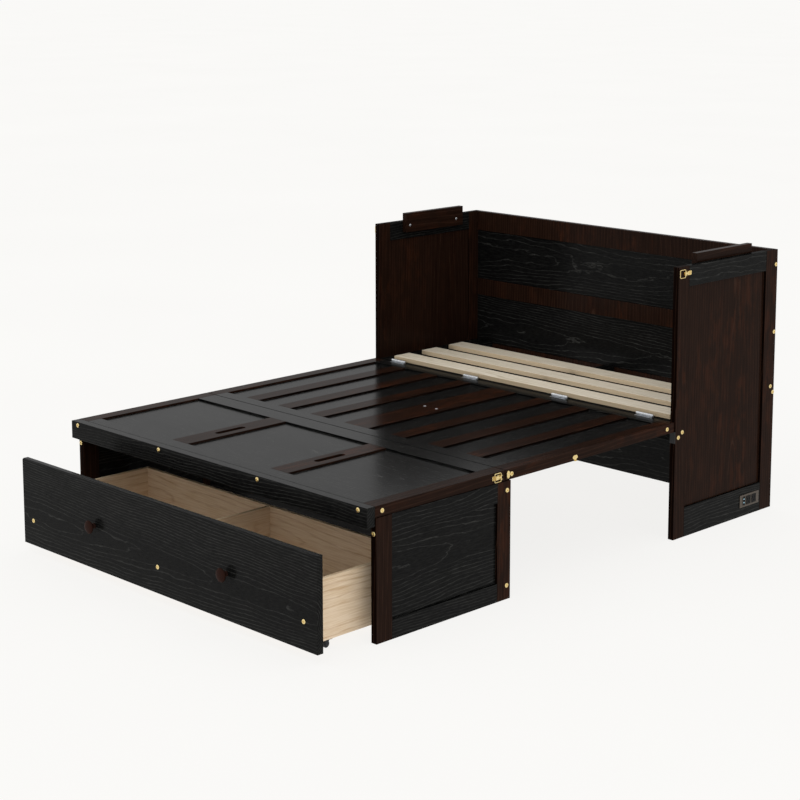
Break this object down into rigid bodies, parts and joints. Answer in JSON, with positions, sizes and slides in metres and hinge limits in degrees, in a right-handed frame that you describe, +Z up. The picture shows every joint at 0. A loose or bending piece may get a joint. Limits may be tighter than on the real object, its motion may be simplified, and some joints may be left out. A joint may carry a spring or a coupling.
{
  "type": "cabinet bed",
  "caption": "Open cabinet bed: panelled cabinet with slats, hinged framed platform, and a foot unit with a slotted lid and a pull-out drawer.",
  "frame": {"origin": "on the floor, in the middle of the whole bed's footprint as it stands open with the drawer pulled out", "axes": "+X to the right as seen from the foot end, +Y from the foot towards the cabinet at the head, +Z up"},
  "size_m": [1.4724, 2.214, 0.97],
  "materials": {
    "black_wood": "satin",
    "brown_wood": "satin",
    "light_wood": "matte",
    "knob_wood": "satin",
    "brass": "satin",
    "silver_steel": "satin",
    "outlet_metal": "satin",
    "socket_plastic": "matte",
    "black_metal": "satin",
    "caster_steel": "satin",
    "caster_wheel": "matte"
  },
  "bodies": {
    "cabinet": {"back_lower_board": "black_wood", "back_panels": "black_wood", "back_rails": "brown_wood", "cabinet_bolts": "brass", "cabinet_latch_bases": "brass", "cabinet_side_panels": "brown_wood", "cabinet_side_rails": "black_wood", "cabinet_side_stiles": "brown_wood", "front_cross_rail": "black_wood", "hinge_cabinet_leaves": "silver_steel", "hinge_pins": "silver_steel", "outlet_plate": "outlet_metal", "outlet_sockets": "socket_plastic", "platform_rest_plates": "black_metal", "slat_bearers": "black_wood", "slats": "light_wood", "tab_boards": "brown_wood", "tab_screws": "silver_steel"},
    "platform": {"hinge_platform_leaves": "silver_steel", "platform_bolts": "brass", "platform_end_rails": "black_wood", "platform_handle": "silver_steel", "platform_keepers": "brass", "platform_panels": "black_wood", "platform_side_rails": "brown_wood", "platform_stiles": "brown_wood"},
    "foot_unit": {"foot_back_board": "black_wood", "foot_unit_bolts": "brass", "leg_panels": "black_wood", "leg_rails": "black_wood", "leg_stiles": "brown_wood", "lid_end_rails": "black_wood", "lid_front_board": "black_wood", "lid_latch_bases": "brass", "lid_panels": "black_wood", "lid_side_rails": "brown_wood", "lid_stiles": "brown_wood"},
    "drawer": {"caster_brackets": "caster_steel", "drawer_back": "light_wood", "drawer_bolts": "brass", "drawer_bottom": "light_wood", "drawer_corner_blocks": "light_wood", "drawer_divider": "light_wood", "drawer_front": "black_wood", "drawer_knobs": "knob_wood", "drawer_left_side": "light_wood", "drawer_right_side": "light_wood", "drawer_screws": "silver_steel"},
    "front_left_wheel": {"front_left_wheel": "caster_wheel"},
    "front_right_wheel": {"front_right_wheel": "caster_wheel"},
    "left_cabinet_latch_lever": {"left_cabinet_latch_lever": "brass"},
    "left_cabinet_latch_loop": {"left_cabinet_latch_loop": "brass"},
    "left_lid_latch_lever": {"left_lid_latch_lever": "brass"},
    "left_lid_latch_loop": {"left_lid_latch_loop": "brass"},
    "rear_left_wheel": {"rear_left_wheel": "caster_wheel"},
    "rear_right_wheel": {"rear_right_wheel": "caster_wheel"},
    "right_cabinet_latch_lever": {"right_cabinet_latch_lever": "brass"},
    "right_cabinet_latch_loop": {"right_cabinet_latch_loop": "brass"},
    "right_lid_latch_lever": {"right_lid_latch_lever": "brass"},
    "right_lid_latch_loop": {"right_lid_latch_loop": "brass"}
  },
  "joints": [
    {"name": "platform_hinge", "type": "hinge", "parent": "cabinet", "child": "platform", "pos_m": [0, 0.537, 0.4172], "axis": [-1, 0, 0], "range_deg": [0, 90]},
    {"name": "foot_slide", "type": "slide", "parent": "cabinet", "child": "foot_unit", "axis": [0, -1, 0], "range_m": [0, 0.3]},
    {"name": "drawer_slide", "type": "slide", "parent": "foot_unit", "child": "drawer", "axis": [0, 1, 0], "range_m": [-0.18, 0.2045]},
    {"name": "front_left_wheel_turn", "type": "hinge", "parent": "drawer", "child": "front_left_wheel", "pos_m": [-0.641, -0.97, 0.011], "axis": [1, 0, 0], "continuous": true},
    {"name": "front_right_wheel_turn", "type": "hinge", "parent": "drawer", "child": "front_right_wheel", "pos_m": [0.641, -0.97, 0.011], "axis": [1, 0, 0], "continuous": true},
    {"name": "rear_left_wheel_turn", "type": "hinge", "parent": "drawer", "child": "rear_left_wheel", "pos_m": [-0.641, -0.663, 0.011], "axis": [1, 0, 0], "continuous": true},
    {"name": "rear_right_wheel_turn", "type": "hinge", "parent": "drawer", "child": "rear_right_wheel", "pos_m": [0.641, -0.663, 0.011], "axis": [1, 0, 0], "continuous": true},
    {"name": "right_lid_latch_lever_swing", "type": "hinge", "parent": "foot_unit", "child": "right_lid_latch_lever", "pos_m": [0.7286, -0.327, 0.394], "axis": [0, 0, 1], "range_deg": [0, 100]},
    {"name": "right_lid_latch_loop_swing", "type": "hinge", "parent": "foot_unit", "child": "right_lid_latch_loop", "pos_m": [0.7286, -0.327, 0.394], "axis": [0, 0, 1], "range_deg": [0, 178]},
    {"name": "right_cabinet_latch_lever_swing", "type": "hinge", "parent": "cabinet", "child": "right_cabinet_latch_lever", "pos_m": [0.7326, 0.569, 0.9145], "axis": [0, 0, -1], "range_deg": [0, 100]},
    {"name": "right_cabinet_latch_loop_swing", "type": "hinge", "parent": "cabinet", "child": "right_cabinet_latch_loop", "pos_m": [0.7326, 0.569, 0.9145], "axis": [0, 0, 1], "range_deg": [0, 178]},
    {"name": "left_lid_latch_lever_swing", "type": "hinge", "parent": "foot_unit", "child": "left_lid_latch_lever", "pos_m": [-0.7286, -0.327, 0.394], "axis": [0, 0, -1], "range_deg": [0, 100]},
    {"name": "left_lid_latch_loop_swing", "type": "hinge", "parent": "foot_unit", "child": "left_lid_latch_loop", "pos_m": [-0.7286, -0.327, 0.394], "axis": [0, 0, -1], "range_deg": [0, 178]},
    {"name": "left_cabinet_latch_lever_swing", "type": "hinge", "parent": "cabinet", "child": "left_cabinet_latch_lever", "pos_m": [-0.7326, 0.569, 0.9145], "axis": [0, 0, 1], "range_deg": [0, 100]},
    {"name": "left_cabinet_latch_loop_swing", "type": "hinge", "parent": "cabinet", "child": "left_cabinet_latch_loop", "pos_m": [-0.7326, 0.569, 0.9145], "axis": [0, 0, -1], "range_deg": [0, 178]}
  ]
}
